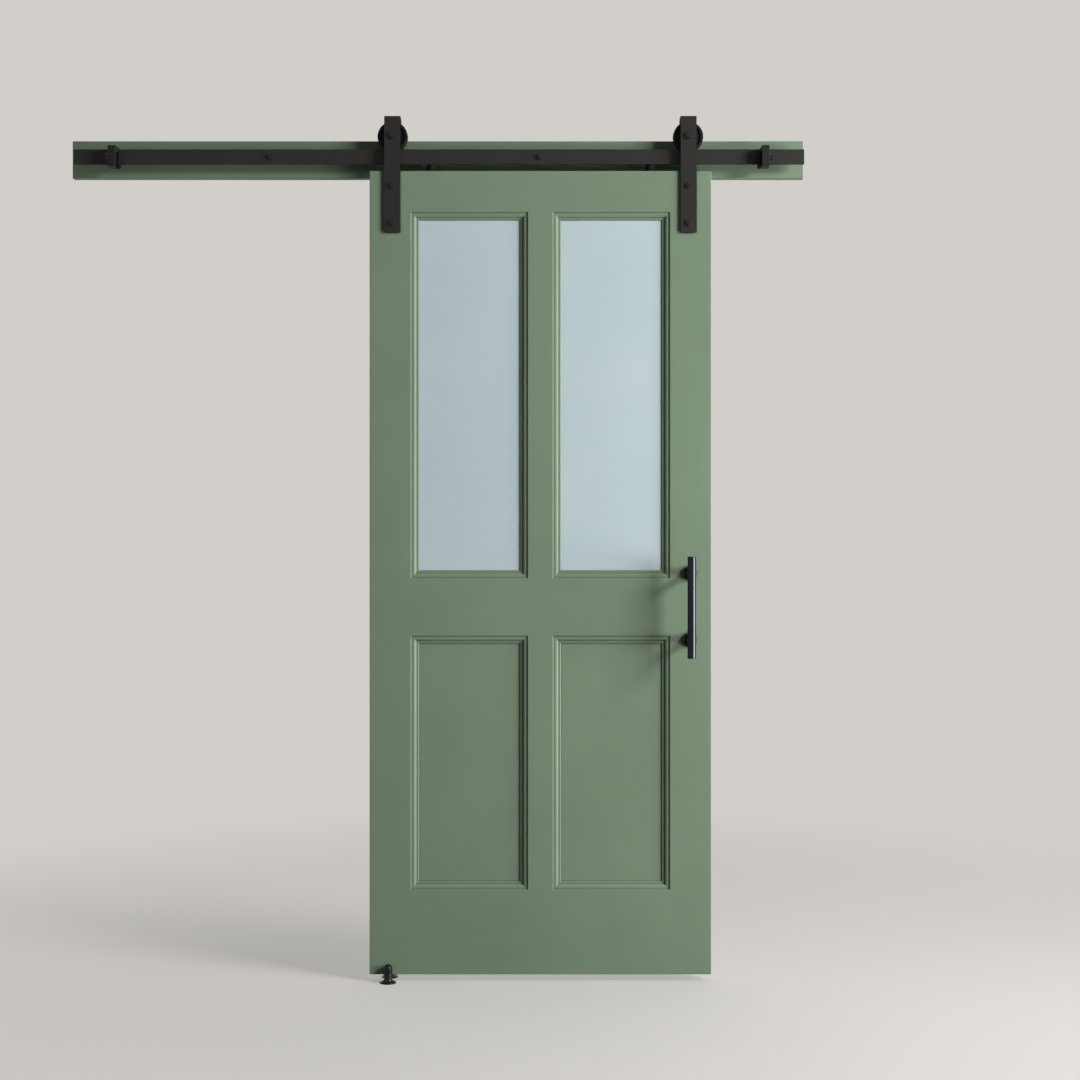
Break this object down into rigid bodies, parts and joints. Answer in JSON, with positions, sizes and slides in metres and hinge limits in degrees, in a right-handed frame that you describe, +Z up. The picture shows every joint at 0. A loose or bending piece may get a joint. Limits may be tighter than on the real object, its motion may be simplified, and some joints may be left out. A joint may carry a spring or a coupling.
{
  "type": "sliding barn door",
  "caption": "Sliding barn door: panelled leaf with frosted panes, strap hangers with grooved wheels on a flat track, header board, bar pull and floor guide.",
  "frame": {"origin": "centre of the header board's back face, on the wall plane", "axes": "+X along the track to the right seen from the room, +Y into the wall, +Z up"},
  "size_m": [1.868, 0.1896, 2.1894],
  "materials": {
    "painted_wood": "grey-green satin paint on timber",
    "painted_board": "grey-green satin paint on planed board",
    "frosted_glass": "frosted, pale blue-grey",
    "black_steel": "matt black powder coat",
    "bumper_rubber": "matt black rubber",
    "blackened_steel": "satin charcoal",
    "polished_steel": "polished, slightly dark",
    "bearing_steel": "ground steel with sealed shields"
  },
  "bodies": {
    "frame": {"header_board": "painted_board", "track_bar": "black_steel", "track_spacers": "black_steel", "track_lag_bolts": "black_steel", "end_stop_left": "black_steel", "end_stop_right": "black_steel", "stop_bumper_left": "bumper_rubber", "stop_bumper_right": "bumper_rubber", "stop_studs": "black_steel", "stop_nuts": "black_steel", "stop_grub_screws": "black_steel", "floor_guide_front": "polished_steel", "floor_guide_back": "polished_steel"},
    "door": {"left_stile": "painted_wood", "right_stile": "painted_wood", "top_rail": "painted_wood", "lock_rail": "painted_wood", "bottom_rail": "painted_wood", "upper_mullion": "painted_wood", "lower_mullion": "painted_wood", "panel_left": "painted_wood", "panel_right": "painted_wood", "glass_left": "frosted_glass", "glass_right": "frosted_glass", "bead_left_pane_left": "painted_wood", "bead_left_pane_right": "painted_wood", "bead_left_pane_bottom": "painted_wood", "bead_left_pane_top": "painted_wood", "bead_right_pane_left": "painted_wood", "bead_right_pane_right": "painted_wood", "bead_right_pane_bottom": "painted_wood", "bead_right_pane_top": "painted_wood", "hanger_strap_left": "black_steel", "hanger_strap_right": "black_steel", "strap_bolts": "black_steel", "strap_washers": "black_steel", "strap_nuts": "black_steel", "axle_bolts": "black_steel", "axle_nuts": "black_steel", "axle_bushes": "black_steel", "anti_jump_button_left": "black_steel", "anti_jump_button_right": "black_steel", "anti_jump_screws": "black_steel", "handle_bar": "blackened_steel", "handle_neck_upper": "blackened_steel", "handle_neck_lower": "blackened_steel", "handle_rosette_upper": "blackened_steel", "handle_rosette_lower": "blackened_steel", "handle_bolts": "blackened_steel"},
    "wheel_left": {"wheel_left": "black_steel", "wheel_bearing_left": "bearing_steel"},
    "wheel_right": {"wheel_right": "black_steel", "wheel_bearing_right": "bearing_steel"}
  },
  "joints": [
    {"name": "door_slide", "type": "slide", "parent": "frame", "child": "door", "axis": [1, 0, 0], "range_m": [-0.667, 0.1545]},
    {"name": "wheel_left_spin", "type": "hinge", "parent": "door", "child": "wheel_left", "pos_m": [-0.1125, -0.054, 0.0501], "axis": [0, 1, 0], "continuous": true},
    {"name": "wheel_right_spin", "type": "hinge", "parent": "door", "child": "wheel_right", "pos_m": [0.6365, -0.054, 0.0501], "axis": [0, 1, 0], "continuous": true}
  ],
  "couplings": [
    {"joint": "wheel_left_spin", "follows": "door_slide", "rad_per_m": 32.468},
    {"joint": "wheel_right_spin", "follows": "door_slide", "rad_per_m": 32.468}
  ]
}
